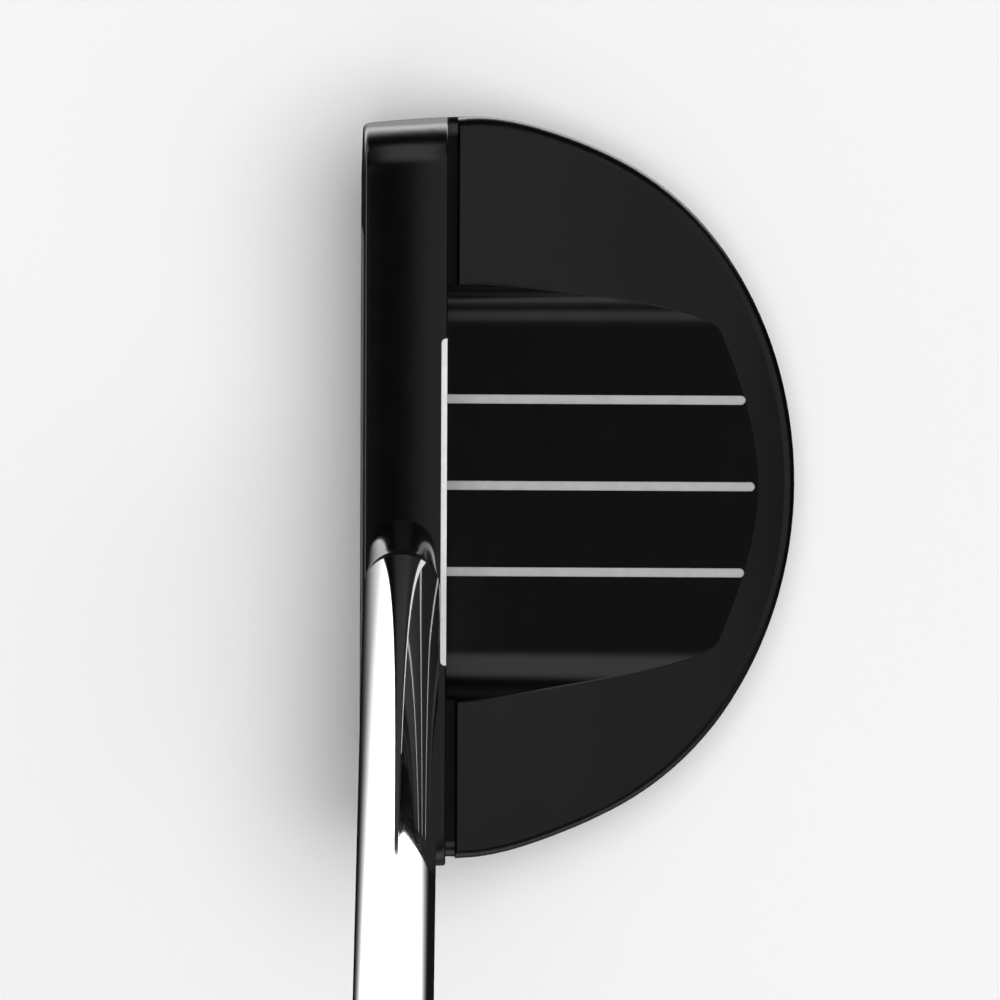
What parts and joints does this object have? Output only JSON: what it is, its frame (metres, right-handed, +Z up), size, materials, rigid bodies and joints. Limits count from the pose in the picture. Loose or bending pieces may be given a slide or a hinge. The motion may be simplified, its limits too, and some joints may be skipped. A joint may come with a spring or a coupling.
{
  "type": "mallet putter",
  "caption": "Half-moon mallet putter: black head with raised topline and white sight lines, chromed steel shaft and pistol grip.",
  "frame": {"origin": "on the ground at the middle of the flat sole, under the centre sight line", "axes": "-X towards the target (the face looks that way), +X rear, +Y toe, -Y heel and golfer, +Z up with the sole flat on the ground"},
  "size_m": [0.0645, 0.3447, 0.8278],
  "materials": {
    "head_black": "satin black",
    "hosel_black": "gloss black",
    "shaft_chrome": "polished",
    "line_white": "satin paint fill",
    "line_gray": "satin paint fill",
    "face_metal": "milled, dark anodised",
    "sole_metal": "satin black anodised",
    "weight_steel": "turned",
    "screw_steel": "black oxide",
    "seal_rubber": "matte",
    "adhesive": "cured adhesive",
    "grip_rubber": "matte, textured",
    "cap_rubber": "satin"
  },
  "bodies": {
    "root": {"head_body": "head_black", "face_insert": "face_metal", "face_insert_tape": "adhesive", "alignment_line_toe": "line_gray", "alignment_line_center": "line_gray", "alignment_line_heel": "line_gray", "topline_stripe": "line_white", "sole_plate": "sole_metal", "sole_plate_gasket": "seal_rubber", "sole_plate_screws": "screw_steel", "toe_weight": "weight_steel", "toe_weight_ring": "seal_rubber", "heel_weight": "weight_steel", "heel_weight_ring": "seal_rubber", "hosel": "hosel_black", "hosel_bond": "adhesive", "shaft_bond": "adhesive", "shaft": "shaft_chrome", "grip_tape": "adhesive", "grip": "grip_rubber", "grip_end_cap": "cap_rubber"}
  },
  "joints": []
}
